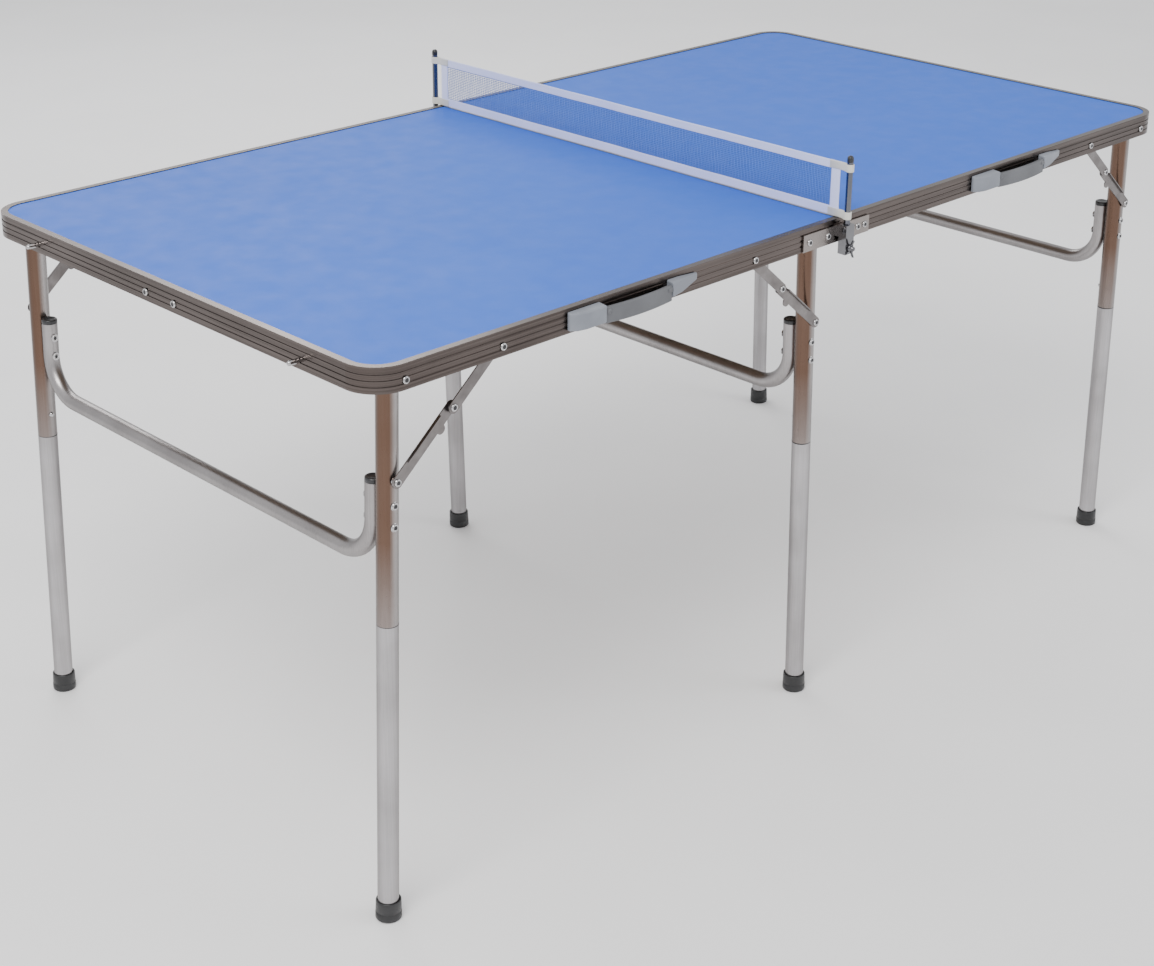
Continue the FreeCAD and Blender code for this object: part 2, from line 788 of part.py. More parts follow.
def handle_grip():
    """The bail that hangs between the brackets and swings out to be carried."""
    middle = f"({SIDE} + grip_pin_out)"
    low = f"({BOTTOM} + grip_bar_low)"
    bar = box(
        (f"{HANDLE_X} - grip_half", f"{HANDLE_X} + grip_half"),
        (f"{middle} - grip_bar_depth / 2", f"{middle} + grip_bar_depth / 2"),
        (low, f"{low} + grip_bar_height"),
    )
    arms = []
    for end in ("-grip_half", "(grip_half - grip_arm)"):
        start = f"({HANDLE_X} + {end})"
        arms.append(box(
            (start, f"{start} + grip_arm"),
            (f"{middle} - grip_arm / 2", f"{middle} + grip_arm / 2"),
            (low, PIN_Z),
        ))
        arms.append(rod("X", (start, middle, PIN_Z), "grip_arm", "grip_arm / 2"))
    pins = [
        rod("X", (f"{HANDLE_X} - grip_half - grip_pin_length", middle, PIN_Z),
            "grip_pin_length + grip_arm", "grip_pin_radius"),
        rod("X", (f"{HANDLE_X} + grip_half - grip_arm", middle, PIN_Z),
            "grip_pin_length + grip_arm", "grip_pin_radius"),
    ]
    return join(bar, *arms, *pins)


half_turn = FreeCAD.Placement(FreeCAD.Vector(), z_turn(180))
keep("handle_brackets_right", mirror(handle_brackets(), y=1))
keep("handle_grip_right", mirror(handle_grip(), y=1))
keep("handle_brackets_left", group(handle_brackets()), half_turn)
keep("handle_grip_left", group(handle_grip()), half_turn)


# ---------------------------------------------------------------- net, posts and clamps

NET_X = "(-net_inset)"
CLAMP_IN = f"({HINGE_FACE} + face_gap + pin_head_height + face_gap)"
POST_Y = f"({CLAMP_IN} + clamp_wall + post_radius + turn_gap)"
CLAMP_OUT = f"({POST_Y} + post_radius + turn_gap + clamp_wall)"
POST_FOOT = f"({BOTTOM} - post_foot)"
SCREW_Z = f"({BOTTOM} - screw_drop)"

clamp_x = (f"{NET_X} - clamp_length / 2", f"{NET_X} + clamp_length / 2")
clamp = cut(
    join(
        box(clamp_x, (CLAMP_IN, CLAMP_OUT), (f"{BOTTOM} - clamp_fall", f"{BOTTOM} + clamp_rise")),
        box((clamp_x[0], f"{clamp_x[0]} + pad_width"), (PLATE_FACE, CLAMP_IN),
            (f"{BOTTOM} + ear_radius + 1", f"{BOTTOM} + plate_height")),
    ),
    rod("Z", (NET_X, POST_Y, POST_FOOT), "2 * rail_depth", "post_radius + turn_gap"),
    rod("Y", (NET_X, POST_Y, SCREW_Z), "clamp_length", "screw_radius + turn_gap"),
)
keep("post_clamps", both_sides(clamp))

post_height = f"({TOP} + post_top - post_radius)"
post = join(
    rod("Z", (NET_X, POST_Y, POST_FOOT), f"{post_height} - {POST_FOOT}", "post_radius"),
    ball((NET_X, POST_Y, post_height), "post_radius"),
)
keep("net_posts", both_sides(post))

screw_tip = f"({POST_Y} + post_radius + face_gap)"
screw_face = f"({CLAMP_OUT} + face_gap)"
wing_half = "wing_thickness / 2"
wing_screw = join(
    rod("Y", (NET_X, screw_tip, SCREW_Z), f"{screw_face} - {screw_tip}", "screw_radius"),
    rod("Y", (NET_X, screw_face, SCREW_Z), "screw_head_height", "screw_head"),
    box(
        (f"{NET_X} - {wing_half}", f"{NET_X} + {wing_half}"),
        (screw_face, f"{screw_face} + wing_depth"),
        (f"{SCREW_Z} - wing_tip", f"{SCREW_Z} + wing_tip"),
    ),
    *[
        rod(
            "X",
            (f"{NET_X} - {wing_half}", f"{screw_face} + wing_depth / 2", f"{SCREW_Z} + {way} * wing_tip"),
            "wing_thickness",
            "wing_depth / 2",
        )
        for way in (-1, 1)
    ],
)
keep("wing_screw_far", wing_screw)
keep("wing_screw_near", mirror(wing_screw, y=1))

net_low = f"({TOP} + net_lift)"
net_high = f"({TOP} + net_height)"
net_x = (f"{NET_X} - net_thickness / 2", f"{NET_X} + net_thickness / 2")
loop_inner = "(post_radius + loop_gap)"
loop_outer = "(post_radius + loop_gap + loop_wall)"
loops = []
for low in (net_low, f"({net_high} - loop_height)"):
    ring = rod("Z", (NET_X, POST_Y, low), "loop_height", loop_outer)
    tongue = box(net_x, ("net_half", f"{POST_Y} - {loop_inner}"), (low, f"{low} + loop_height"))
    loops += [ring, tongue]
cloth = box(net_x, ("0", "net_half"), (net_low, net_high))
holes_for_posts = rod("Z", (NET_X, POST_Y, TOP), "2 * net_height", loop_inner)
net_side = cut(join(cloth, *loops), holes_for_posts)
keep("net_cloth", join(net_side, mirror(net_side, y=1)))


# ---------------------------------------------------------------- test and write out

doc.recompute()
failed = [made.Label for made in doc.Objects if "Invalid" in made.State or "Error" in made.State]
if failed:
    raise RuntimeError(f"objects that failed to build: {failed}")
for made in parts:
    if made.Shape.isNull() or not made.Shape.isValid() or not made.Shape.Solids:
        raise RuntimeError(f"{made.Label} has no valid solid")

os.makedirs("parts", exist_ok=True)
for made in parts:
    made.Shape.exportStep(f"parts/{made.Label}.step")
    print(f"{made.Label:24s} {len(made.Shape.Solids):2d} solids {made.Shape.Volume / 1000:10.2f} cm3")
print(f"{len(parts)} parts")
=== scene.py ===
"""Looks of a compact folding table tennis table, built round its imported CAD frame.

X runs along the table, Y across it and Z up. The side with the carrying handles is -Y.
Everything is in metres, and places come from the frame's own boxes and joints.
"""

import json
import math

import bmesh
import bpy
from mathutils import Matrix, Vector


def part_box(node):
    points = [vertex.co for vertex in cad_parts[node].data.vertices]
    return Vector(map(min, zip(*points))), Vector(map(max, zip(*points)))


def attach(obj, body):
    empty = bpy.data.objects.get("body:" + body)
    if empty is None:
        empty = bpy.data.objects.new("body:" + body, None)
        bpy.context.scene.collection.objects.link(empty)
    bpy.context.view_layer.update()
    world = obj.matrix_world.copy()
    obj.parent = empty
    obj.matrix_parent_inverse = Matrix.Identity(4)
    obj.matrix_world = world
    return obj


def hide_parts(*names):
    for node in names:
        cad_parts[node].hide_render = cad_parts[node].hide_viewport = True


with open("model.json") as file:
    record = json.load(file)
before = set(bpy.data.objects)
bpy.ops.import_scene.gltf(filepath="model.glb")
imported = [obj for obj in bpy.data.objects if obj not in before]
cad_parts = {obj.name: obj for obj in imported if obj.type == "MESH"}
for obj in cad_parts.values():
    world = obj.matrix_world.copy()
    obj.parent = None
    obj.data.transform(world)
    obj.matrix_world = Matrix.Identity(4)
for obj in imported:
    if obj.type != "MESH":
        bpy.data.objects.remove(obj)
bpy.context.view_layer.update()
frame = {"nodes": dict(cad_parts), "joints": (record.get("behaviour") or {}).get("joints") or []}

MM = 0.001
PAIRS = ("left", "middle", "right")
SIDES = (("near", -1), ("far", 1))
JOINTS = {joint["name"]: joint for joint in frame["joints"]}
TURN = 2 * math.pi


# ---------------------------------------------------------------- places read from the frame


def place(joint):
    """Where a joint's axis passes, in the row frame."""
    return Vector(JOINTS[joint]["pos_m"])


def box(node):
    """The low and high corners of a node's box, in the row frame."""
    low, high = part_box(node)
    return Vector(low), Vector(high)


rail_low, rail_high = box("edge_frame_left")
leg_low, leg_high = box("upper_leg_left_far")
RAIL_Z = rail_low.z
BOARD_TOP = box("top_board_left")[1].z
SIDE_Y = rail_high.y
END_X = box("edge_frame_right")[1].x
LEG_Y = (leg_low.y + leg_high.y) / 2
LEG_R = (leg_high.y - leg_low.y) / 2


def leg_direction(pair):
    """The direction down a leg of a pair, from its pivot to its foot."""
    pivot = place(f"leg_fold_{pair}")
    low, high = box(f"foot_caps_{pair}")
    foot = Vector(((low.x + high.x) / 2, 0, low.z))
    return (foot - Vector((pivot.x, 0, pivot.z))).normalized()


# ---------------------------------------------------------------- material nodes


class Nodes:
    """A small helper that builds one node material."""

    def __init__(self, name, metallic=0.0, roughness=0.5, color=(0.5, 0.5, 0.5)):
        self.material = bpy.data.materials.new(name)
        self.material.use_nodes = True
        self.tree = self.material.node_tree
        self.tree.nodes.clear()
        self.out = self.add("ShaderNodeOutputMaterial")
        self.shader = self.add("ShaderNodeBsdfPrincipled")
        self.join(self.shader.outputs[0], self.out.inputs[0])
        self.shader.inputs["Metallic"].default_value = metallic
        self.shader.inputs["Roughness"].default_value = roughness
        self.shader.inputs["Base Color"].default_value = (*color, 1)
        self.coords = self.add("ShaderNodeTexCoord").outputs["Object"]

    def add(self, kind, **values):
        node = self.tree.nodes.new(kind)
        for key, value in values.items():
            setattr(node, key, value)
        return node

    def join(self, output, target):
        self.tree.links.new(output, target)

    def scaled(self, scale):
        node = self.add("ShaderNodeMapping")
        node.inputs["Scale"].default_value = scale
        self.join(self.coords, node.inputs["Vector"])
        return node.outputs[0]

    def noise(self, scale, detail=3.0, stretch=(1, 1, 1), roughness=0.5):
        node = self.add("ShaderNodeTexNoise")
        node.inputs["Scale"].default_value = scale
        node.inputs["Detail"].default_value = detail
        node.inputs["Roughness"].default_value = roughness
        self.join(self.scaled(stretch), node.inputs["Vector"])
        return node.outputs["Fac"]

    def ramp(self, source, stops):
        """A colour ramp from a list of (place, grey or colour)."""
        node = self.add("ShaderNodeValToRGB")
        ramp = node.color_ramp
        for index, (place_on, value) in enumerate(stops):
            color = value if hasattr(value, "__len__") else (value, value, value)
            point = ramp.elements[index] if index < 2 else ramp.elements.new(place_on)
            point.position = place_on
            point.color = (*color, 1)
        self.join(source, node.inputs["Fac"])
        return node.outputs["Color"]

    def mix(self, factor, first, second):
        """Mixes two colours by a factor. A colour is a node's output or plain numbers."""
        node = self.add("ShaderNodeMix", data_type="RGBA", blend_type="MIX")
        for name, value in (("Factor", factor), ("A", first), ("B", second)):
            if isinstance(value, tuple):
                node.inputs[name].default_value = (*value, 1)
            else:
                self.join(value, node.inputs[name])
        return node.outputs["Result"]

    def math(self, operation, first, second):
        node = self.add("ShaderNodeMath", operation=operation)
        for socket, value in zip(node.inputs, (first, second)):
            if isinstance(value, (int, float)):
                socket.default_value = value
            else:
                self.join(value, socket)
        return node.outputs[0]

    def range(self, source, low, high, to_low, to_high):
        """Maps low to high onto to_low to to_high, and stays inside them."""
        node = self.add("ShaderNodeMapRange")
        node.inputs["From Min"].default_value = low
        node.inputs["From Max"].default_value = high
        node.inputs["To Min"].default_value = to_low
        node.inputs["To Max"].default_value = to_high
        self.join(source, node.inputs["Value"])
        return node.outputs[0]

    def part(self, axis, source=None):
        """One component of a vector: 0 for X, 1 for Y, 2 for Z."""
        node = self.add("ShaderNodeSeparateXYZ")
        self.join(source or self.coords, node.inputs[0])
        return node.outputs[axis]

    def bump(self, height, distance, strength, before=None):
        node = self.add("ShaderNodeBump")
        node.inputs["Strength"].default_value = strength
        node.inputs["Distance"].default_value = distance
        self.join(height, node.inputs["Height"])
        if before is not None:
            self.join(before, node.inputs["Normal"])
        self.join(node.outputs[0], self.shader.inputs["Normal"])
        return node.outputs[0]

    def color(self, source):
        self.join(source, self.shader.inputs["Base Color"])

    def rough(self, source):
        self.join(source, self.shader.inputs["Roughness"])


# ---------------------------------------------------------------- materials


def blue_board():
    """Blue lacquered board with a faint orange peel, and bare hardboard underneath."""
    n = Nodes("blue_board", roughness=0.6)
    broad = n.noise(1.6, 3)
    blue = n.ramp(broad, [(0.25, (0.030, 0.120, 0.560)), (0.75, (0.036, 0.134, 0.600))])
    # faint pale specks, then faint scuffs
    speck = n.noise(900, 1)
    blue = n.mix(n.range(speck, 0.62, 0.75, 0.0, 0.07), blue, (0.12, 0.26, 0.72))
    scuffs = n.noise(14, 6, stretch=(0.4, 3.0, 1), roughness=0.7)
    blue = n.mix(n.range(scuffs, 0.68, 0.80, 0.0, 0.08), blue, (0.16, 0.30, 0.72))
    fibre = n.noise(60, 8, stretch=(1, 6, 1), roughness=0.75)
    board = n.ramp(fibre, [(0.3, (0.105, 0.068, 0.042)), (0.7, (0.190, 0.130, 0.085))])
    # the lacquer ends just below the top face, in the board's own coordinates
    under = n.range(n.part(2), BOARD_TOP - 0.5 * MM, BOARD_TOP - 1.5 * MM, 0.0, 1.0)
    n.color(n.mix(under, blue, board))
    n.rough(n.range(n.noise(30, 5), 0.3, 0.7, 0.52, 0.64))
    peel = n.bump(n.noise(1400, 2), 0.00006, 0.5)
    n.bump(n.noise(9, 2), 0.0006, 0.15, before=peel)
    n.shader.inputs["Specular IOR Level"].default_value = 0.16
    return n.material


def drawn_metal(name, color, dark, roughness, along=(3, 3, 420)):
    """Metal drawn through a die: fine lines along it, soft blotches and small dents."""
    n = Nodes(name, metallic=1.0, roughness=roughness)
    streak = n.noise(1.0, 3, stretch=along)
    cloud = n.noise(6, 4)
    tone = n.math("ADD", n.math("MULTIPLY", streak, 0.6), n.math("MULTIPLY", cloud, 0.4))
    n.color(n.ramp(tone, [(0.35, dark), (0.62, color)]))
    n.rough(n.range(tone, 0.3, 0.7, roughness + 0.07, roughness - 0.05))
    first = n.bump(streak, 0.00004, 0.6)
    n.bump(n.noise(70, 2), 0.00012, 0.18, before=first)
    return n.material


def tube_metal(name, color, dark, roughness, painted_reflection=0.0):
    """Anodised tube with painted shade darkening its sides, and fine scratches along it.

    The last argument is how much painted brown reflection of its surroundings the left side of the
    upper part takes on.
    """
    n = Nodes(name, metallic=1.0, roughness=roughness)
    streak = n.noise(1.0, 2, stretch=(700, 700, 4))
    cloud = n.noise(11, 4)
    tone = n.math("ADD", n.math("MULTIPLY", streak, 0.3), n.math("MULTIPLY", cloud, 0.7))
    metal = n.ramp(tone, [(0.38, dark), (0.62, color)])
    # painted reflection: brown painted on the left-facing side of the upper tube near the table,
    # where the brown underside would be reflected
    if painted_reflection:
        rise = n.range(n.part(2), 0.33, 0.48, 0.35, 1.0)
        normal = n.add("ShaderNodeTexCoord").outputs["Normal"]
        left = n.range(n.part(0, normal), 0.15, -0.45, 0.0, painted_reflection)
        metal = n.mix(n.math("MULTIPLY", rise, left), metal, (0.105, 0.050, 0.026))
    # painted shade: the colour darkens towards the tube's sides as they turn away from view,
    # standing in for the shading and dark reflections on a round tube
    side = n.add("ShaderNodeLayerWeight")
    side.inputs["Blend"].default_value = 0.40
    edge = n.range(side.outputs["Facing"], 0.20, 0.85, 0.0, 0.80)
    metal = n.mix(edge, metal, (0.100, 0.090, 0.086))
    n.color(metal)
    nicks = n.noise(260, 2, roughness=0.8)
    worn = n.range(tone, 0.3, 0.7, roughness + 0.05, roughness - 0.03)
    n.rough(n.math("ADD", worn, n.range(nicks, 0.66, 0.74, 0.0, 0.06)))
    n.bump(streak, 0.00002, 0.25)
    return n.material


def plain_metal(name, color, roughness, grain=500):
    """Plated or stamped steel with a fine tumbled grain."""
    n = Nodes(name, metallic=1.0, roughness=roughness)
    fine = n.noise(grain, 3)
    cloud = n.noise(40, 3)
    n.color(n.ramp(cloud, [(0.3, tuple(c * 0.82 for c in color)), (0.7, color)]))
    n.rough(n.range(fine, 0.3, 0.7, roughness - 0.05, roughness + 0.1))
    n.bump(fine, 0.00003, 0.5)
    return n.material


def moulded(name, color, roughness, grain=700, depth=0.00006):
    """Moulded plastic or rubber with a fine spark grain and dusty patches."""
    n = Nodes(name, roughness=roughness)
    dust = n.noise(18, 5)
    light = tuple(min(1.0, c * 1.35 + 0.012) for c in color)
    n.color(n.ramp(dust, [(0.42, color), (0.78, light)]))
    fine = n.noise(grain, 2)
    n.rough(n.range(fine, 0.3, 0.7, roughness - 0.06, roughness + 0.1))
    n.bump(fine, depth, 0.7)
    return n.material


def cloth(name, color, light, threads=1500, strength=0.6):
    """Woven polyester: crossing threads, a little fuzz and soft colour changes."""
    n = Nodes(name, roughness=0.8)
    warp = n.add("ShaderNodeTexWave", wave_type="BANDS", bands_direction="Y")
    weft = n.add("ShaderNodeTexWave", wave_type="BANDS", bands_direction="Z")
    for wave in (warp, weft):
        wave.inputs["Scale"].default_value = threads / TURN
        wave.inputs["Distortion"].default_value = 0.4
        n.join(n.coords, wave.inputs["Vector"])
    weave = n.math("MULTIPLY", warp.outputs["Fac"], weft.outputs["Fac"])
    cloud = n.noise(24, 4)
    tone = n.math("ADD", n.math("MULTIPLY", weave, 0.45), n.math("MULTIPLY", cloud, 0.55))
    n.color(n.ramp(tone, [(0.25, color), (0.7, light)]))
    n.bump(weave, 0.00012, strength)
    n.shader.inputs["Sheen Weight"].default_value = 0.25
    n.shader.inputs["Sheen Roughness"].default_value = 0.5
    return n.material


BLUE = blue_board()
RAIL = drawn_metal("rail_metal", (0.125, 0.104, 0.096), (0.074, 0.060, 0.055), 0.25)
TRIM = drawn_metal(
    "trim_metal", (0.42, 0.400, 0.375), (0.31, 0.292, 0.276), 0.34, along=(420, 3, 3)
)
PLATE = plain_metal("steel_plate", (0.300, 0.270, 0.255), 0.22)
CLAMP = plain_metal("clamp_chrome", (0.200, 0.200, 0.210), 0.14)
LINK = drawn_metal(
    "link_steel", (0.225, 0.208, 0.204), (0.150, 0.136, 0.133), 0.30, along=(60, 300, 60)
)
UPPER_TUBE = tube_metal("upper_tube", (0.44, 0.415, 0.41), (0.33, 0.310, 0.305), 0.26, painted_reflection=0.90)
LOWER_TUBE = tube_metal("lower_tube", (0.48, 0.465, 0.475), (0.37, 0.355, 0.36), 0.30)
BENT_TUBE = tube_metal("bent_tube", (0.42, 0.40, 0.40), (0.31, 0.292, 0.292), 0.34)
CHROME = plain_metal("bright_chrome", (0.55, 0.54, 0.545), 0.10, grain=300)
SCREW = plain_metal("screw_chrome", (0.160, 0.160, 0.170), 0.08, grain=200)
POST = plain_metal("post_chrome", (0.150, 0.155, 0.180), 0.16, grain=300)
# near-black painted shade, put in the rivet hollows and along the line where the leg tubes meet
SHADE_BLACK = moulded("painted_shade_black", (0.012, 0.012, 0.014), 0.5)
RUBBER = moulded("black_rubber", (0.012, 0.012, 0.013), 0.42, grain=450, depth=0.0001)
CAP = moulded("black_cap", (0.014, 0.014, 0.016), 0.30)
GRIP = moulded("grip_grey", (0.085, 0.088, 0.097), 0.42)
BRACKET = moulded("bracket_grey", (0.180, 0.194, 0.225), 0.38)
HEM = cloth("hem_tape", (0.60, 0.64, 0.95), (0.76, 0.79, 1.0))
LOOP = cloth("loop_tape", (0.58, 0.57, 0.52), (0.72, 0.71, 0.66))
MESH = cloth(
    "net_mesh", (0.018, 0.085, 0.400), (0.035, 0.125, 0.48), threads=3000, strength=0.3
)
THREAD = cloth("stitch_thread", (0.74, 0.75, 0.86), (0.86, 0.87, 0.95), threads=4000)

# the first start that fits a node's name gives its material
NODE_MATERIALS = (
    ("top_board", BLUE),
    ("edge_frame", RAIL),
    ("centre_trim", TRIM),
    ("splice_plate", PLATE),
    ("hinge_plates", PLATE),
    ("hinge_pins", CHROME),
    ("frame_rivets", CHROME),
    ("leg_rivets", CHROME),
    ("latch_studs", CHROME),
    ("latch", PLATE),
    ("upper_leg", UPPER_TUBE),
    ("lower_leg", LOWER_TUBE),
    ("snap_button", CHROME),
    ("foot_caps", RUBBER),
    ("cross_bar_caps", CAP),
    ("cross_bar", BENT_TUBE),
    ("brace", LINK),
    ("handle_brackets", BRACKET),
    ("handle_grip", GRIP),
    ("net_posts", POST),
    ("net_cloth", HEM),
    ("post_clamps", CLAMP),
    ("wing_screw", CHROME),
)

for node_name, node_object in frame["nodes"].items():
    chosen = next(material for start, material in NODE_MATERIALS if node_name.startswith(start))
    for spot in node_object.material_slots:
        spot.material = chosen


# ---------------------------------------------------------------- mesh helpers


SHARP_ANGLE = math.radians(35)


def piece(name, bm, material, body, bevel=0.0, bevel_parts=2):
    """Turns a bmesh into a named piece that rides on a body."""
    mesh = bpy.data.meshes.new(name)
    bmesh.ops.recalc_face_normals(bm, faces=bm.faces)
    bm.to_mesh(mesh)
    bm.free()
    mesh.materials.append(material)
    made = bpy.data.objects.new(name, mesh)
    bpy.context.scene.collection.objects.link(made)
    if bevel:
        edge = made.modifiers.new("edges", "BEVEL")
        edge.width = bevel
        edge.segments = bevel_parts
        edge.limit_method = "ANGLE"
        edge.angle_limit = SHARP_ANGLE
    mesh.shade_smooth()
    if bevel:
        mesh.set_sharp_from_angle(angle=SHARP_ANGLE)
    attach(made, body)
    return made


def turned(radius, shape):
    """A turned profile from pairs of a share of the radius and a height in millimetres."""
    return [(radius * share, height * MM) for share, height in shape]


def lathe(bm, profile, centre, axis, sides):
    """Adds a turned shape: profile is (radius, height) pairs from centre along axis."""
    turn = axis.to_track_quat("Z", "Y").to_matrix()
    rings = []
    for radius, height in profile:
        if radius <= 0:
            rings.append([bm.verts.new(centre + turn @ Vector((0, 0, height)))])
            continue
        ring = []
        for k in range(sides):
            angle = TURN * k / sides
            spot = Vector((radius * math.cos(angle), radius * math.sin(angle), height))
            ring.append(bm.verts.new(centre + turn @ spot))
        rings.append(ring)
    for lower, upper in zip(rings, rings[1:]):
        for k in range(sides):
            following = (k + 1) % sides
            corners = [lower[k % len(lower)], lower[following % len(lower)]]
            corners += [upper[following % len(upper)], upper[k % len(upper)]]
            unique = list(dict.fromkeys(corners))
            if len(unique) > 2:
                bm.faces.new(unique)


def block(bm, low, high):
    """Adds a box between two corners."""
    made = bmesh.ops.create_cube(bm, size=1)
    middle = (Vector(low) + Vector(high)) / 2
    span = Vector(high) - Vector(low)
    for vert in made["verts"]:
        vert.co = Vector(a * b for a, b in zip(vert.co, span)) + middle


def skin(bm, rings):
    """Closes a row of rings, each with as many points, into one solid."""
    for first, second in zip(rings, rings[1:]):
        for k in range(len(first)):
            following = (k + 1) % len(first)
            bm.faces.new((first[k], first[following], second[following], second[k]))
    bm.faces.new(rings[0])
    bm.faces.new(reversed(rings[-1]))


def sweep(bm, points, section, up):
    """Adds a solid that carries a section, given as (side, up) pairs, along points."""
    rings = []
    last = len(points) - 1
    for index, point in enumerate(points):
        before = points[max(index - 1, 0)]
        after = points[min(index + 1, last)]
        ahead = (after - before).normalized()
        side = ahead.cross(up).normalized()
        over = side.cross(ahead).normalized()
        rings.append([bm.verts.new(point + side * a + over * b) for a, b in section])
    skin(bm, rings)


def oval(width, depth, sides, power=2.0):
    """A rounded section of a width and a depth; a higher power makes it squarer."""
    points = []
    for k in range(sides):
        c, s = math.cos(TURN * k / sides), math.sin(TURN * k / sides)
        across = math.copysign(abs(c) ** (2 / power), c) * width / 2
        over = math.copysign(abs(s) ** (2 / power), s) * depth / 2
        points.append((across, over))
    return points


def spread(start, end, steps):
    """Evenly spaced values from start to end, both included."""
    return [start + (end - start) * k / steps for k in range(steps + 1)]


# ---------------------------------------------------------------- rivets


HEAD_R = 4.4 * MM
TAIL_R = 3.6 * MM
# how high the frame's own plain heads stand: the detail rises just over them
HEAD_H = 1.5 * MM


def rivet_head(bm, dark, seat, axis, radius):
    """A tubular rivet's rolled head: a bright ring round a shallow centre painted black as the
    shade in its hollow.
    """
    ring = (
        (1.03, -0.1), (1.03, 0.5), (0.97, 1.2), (0.86, 1.72),
        (0.73, 1.95), (0.62, 1.86), (0.56, 1.56),
    )
    lathe(bm, turned(radius, ring), seat, axis, sides=32)
    # the well is painted black as the shade inside the rivet's hollow
    well = ((0.60, 1.66), (0.35, 1.58), (0, 1.57))
    lathe(dark, turned(radius, well), seat, axis, sides=20)


def rivet_set(name, spots, body):
    """Rivet heads that stand over the frame's plain ones. spots are (seat, axis, radius)."""
    bright, dark = bmesh.new(), bmesh.new()
    for seat, axis, radius in spots:
        rivet_head(bright, dark, seat, axis, radius)
    piece(name, bright, CHROME, body)
    piece(f"{name}_shaded_centres", dark, SHADE_BLACK, body)


PLATE_Y = box("hinge_plates_left")[1].y
PLATE_MIDDLE = RAIL_Z + 11 * MM
LEFT_PLATE_RIVET = -68 * MM
RIGHT_PLATE_RIVETS = (27 * MM, 41 * MM)
SPLICE_RIVET = 28 * MM


def frame_rivets():
    """The heads on the rails: leg pivots, brace pivots, hinge plates and the splice plate."""
    left, right = [], []
    for _, sign in SIDES:
        out = Vector((0, sign, 0))
        for joint, where, face in (
            ("leg_fold_left", left, SIDE_Y),
            ("brace_upper_fold_left", left, SIDE_Y),
            ("brace_upper_fold_middle", left, SIDE_Y),
            ("leg_fold_middle", left, PLATE_Y),
            ("leg_fold_right", right, SIDE_Y),
            ("brace_upper_fold_right", right, SIDE_Y),
        ):
            spot = place(joint)
            where.append((Vector((spot.x, sign * face, spot.z)), out, HEAD_R))
        left.append((Vector((LEFT_PLATE_RIVET, sign * PLATE_Y, PLATE_MIDDLE)), out, HEAD_R))
        for x in RIGHT_PLATE_RIVETS:
            right.append((Vector((x, sign * PLATE_Y, PLATE_MIDDLE)), out, HEAD_R))
        pivot_z = place("leg_fold_left").z
        left.append((Vector((-END_X, sign * SPLICE_RIVET, pivot_z)), Vector((-1, 0, 0)), HEAD_R))
    rivet_set("frame_rivet_heads_left", left, "table_left")
    rivet_set("frame_rivet_heads_right", right, "table_right")


# how far down the leg, from its pivot, the two rivets of the bent bar sit
BOLT_DROPS = (149 * MM, 174 * MM)


def leg_rivets():
    """The heads on the legs: the brace's, and the bent bar's two with their tails."""
    for pair in PAIRS:
        pivot = place(f"leg_fold_{pair}")
        down = leg_direction(pair)
        rivets = frame["nodes"][f"leg_rivets_{pair}"]
        tail_seat = min(abs(vert.co.y) for vert in rivets.data.vertices)
        bolt_seat = LEG_Y + LEG_R + 0.1 * MM
        spots = []
        for _, sign in SIDES:
            out = Vector((0, sign, 0))
            brace = place(f"brace_lower_fold_{pair}")
            head_seat = box(f"leg_rivets_{pair}")[1].y - HEAD_H
            spots.append((Vector((brace.x, sign * head_seat, brace.z)), out, HEAD_R))
            for drop in BOLT_DROPS:
                at = pivot + down * drop
                spots.append((Vector((at.x, sign * bolt_seat, at.z)), out, HEAD_R))
                spots.append((Vector((at.x, sign * (tail_seat + HEAD_H), at.z)), -out, TAIL_R))
        rivet_set(f"leg_rivet_heads_{pair}", spots, f"legs_{pair}")


LINK_END_R = 7 * MM


def elbow_rivets():
    """The heads of the brace elbows, one link's length down the brace from the rail."""
    for pair in PAIRS:
        low, high = box(f"brace_upper_{pair}")
        rail_end = place(f"brace_upper_fold_{pair}")
        leg_end = place(f"brace_lower_fold_{pair}")
        reach = (leg_end - rail_end).length
        # the link's box is its length along the brace plus its round ends
        fall = rail_end.z + LINK_END_R - low.z
        along = (leg_end - rail_end).normalized()
        length = (fall - 2 * LINK_END_R) / abs(along.z)
        elbow = rail_end + along * min(length, reach)
        spots = [
            (Vector((elbow.x, sign * (high.y - HEAD_H), elbow.z)), Vector((0, sign, 0)), HEAD_R)
            for _, sign in SIDES
        ]
        rivet_set(f"elbow_rivet_heads_{pair}", spots, f"brace_upper_{pair}")


frame_rivets()
leg_rivets()
elbow_rivets()


# ---------------------------------------------------------------- feet and caps


FOOT_R = 15.4 * MM
PLUG_R = 10.0 * MM


def foot_caps():
    """Moulded rubber cups with a dished sole, a shoulder ring and a rolled lip."""
    shape = (
        (0, 1.2), (0.60, 1.2), (0.66, 0.5), (0.95, 0.5), (1, 1.6),
        (1, 8.6), (0.955, 9.2), (0.955, 9.9), (0.985, 10.5), (0.965, 22.6),
        (0.95, 24.0), (0.91, 24.7), (0.86, 24.5), (0.825, 23.6), (0.82, 8.0),
    )
    for pair in PAIRS:
        low = box(f"foot_caps_{pair}")[0]
        down = leg_direction(pair)
        pivot = place(f"leg_fold_{pair}")
        reach = (pivot.z - low.z) / -down.z
        bm = bmesh.new()
        for _, sign in SIDES:
            foot = Vector((pivot.x, sign * LEG_Y, pivot.z)) + down * reach
            lathe(bm, turned(FOOT_R, shape), foot, -down, sides=64)
        made = piece(f"foot_cup_{pair}", bm, RUBBER, f"legs_{pair}")
        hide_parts(f"foot_caps_{pair}")


